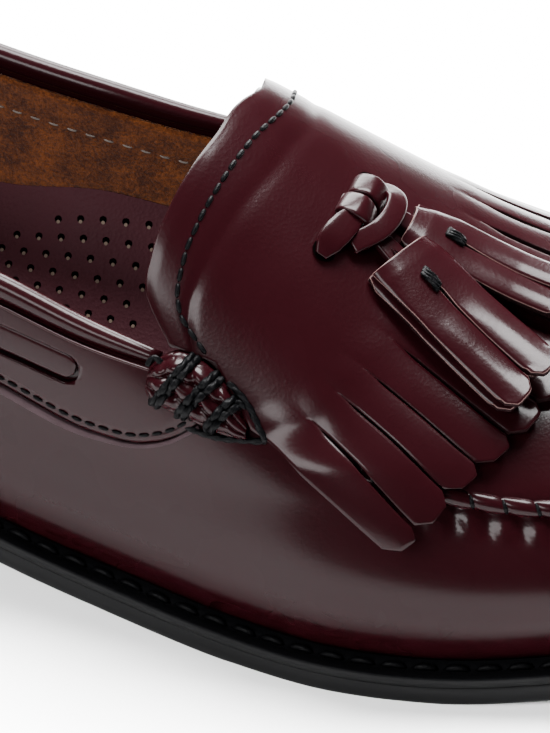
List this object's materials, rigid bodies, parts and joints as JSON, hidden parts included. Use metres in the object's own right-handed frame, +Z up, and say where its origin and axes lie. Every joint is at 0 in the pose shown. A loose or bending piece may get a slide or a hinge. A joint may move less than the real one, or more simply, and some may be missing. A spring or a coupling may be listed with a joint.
{
  "type": "tassel loafer",
  "caption": "Slip-on leather dress shoe for the right foot, with a fringed tongue flap, a laced collar and hanging tassels on a low heeled, stitched sole.",
  "frame": {"origin": "centre of the shoe's bounding box in plan, on the floor it stands on", "axes": "+X towards the toe, +Y towards the inner side of the foot, +Z up"},
  "size_m": [0.292, 0.0992, 0.085],
  "materials": {
    "upper": "burgundy leather, brushed to a high gloss",
    "collar": "burgundy leather folded over a cord, high gloss",
    "fringe": "burgundy leather with paler cut edges",
    "lace": "burgundy leather thong, high gloss",
    "insole": "matt burgundy leather with fine grain",
    "welt": "black, matt",
    "outsole": "black edge, satin",
    "heel": "black edge, satin",
    "heel_top_piece": "black rubber, matt"
  },
  "bodies": {
    "root": {"upper": "upper", "quarter": "upper", "apron_seam": "upper", "beef_roll_lateral": "upper", "beef_roll_medial": "upper", "collar_roll": "collar", "kiltie": "fringe", "tassel_lateral": "fringe", "tassel_medial": "fringe", "tassel_knot": "lace", "lace_lateral": "lace", "lace_medial": "lace", "insole": "insole", "welt": "welt", "outsole": "outsole", "heel": "heel", "heel_top_piece": "heel_top_piece"}
  },
  "joints": []
}
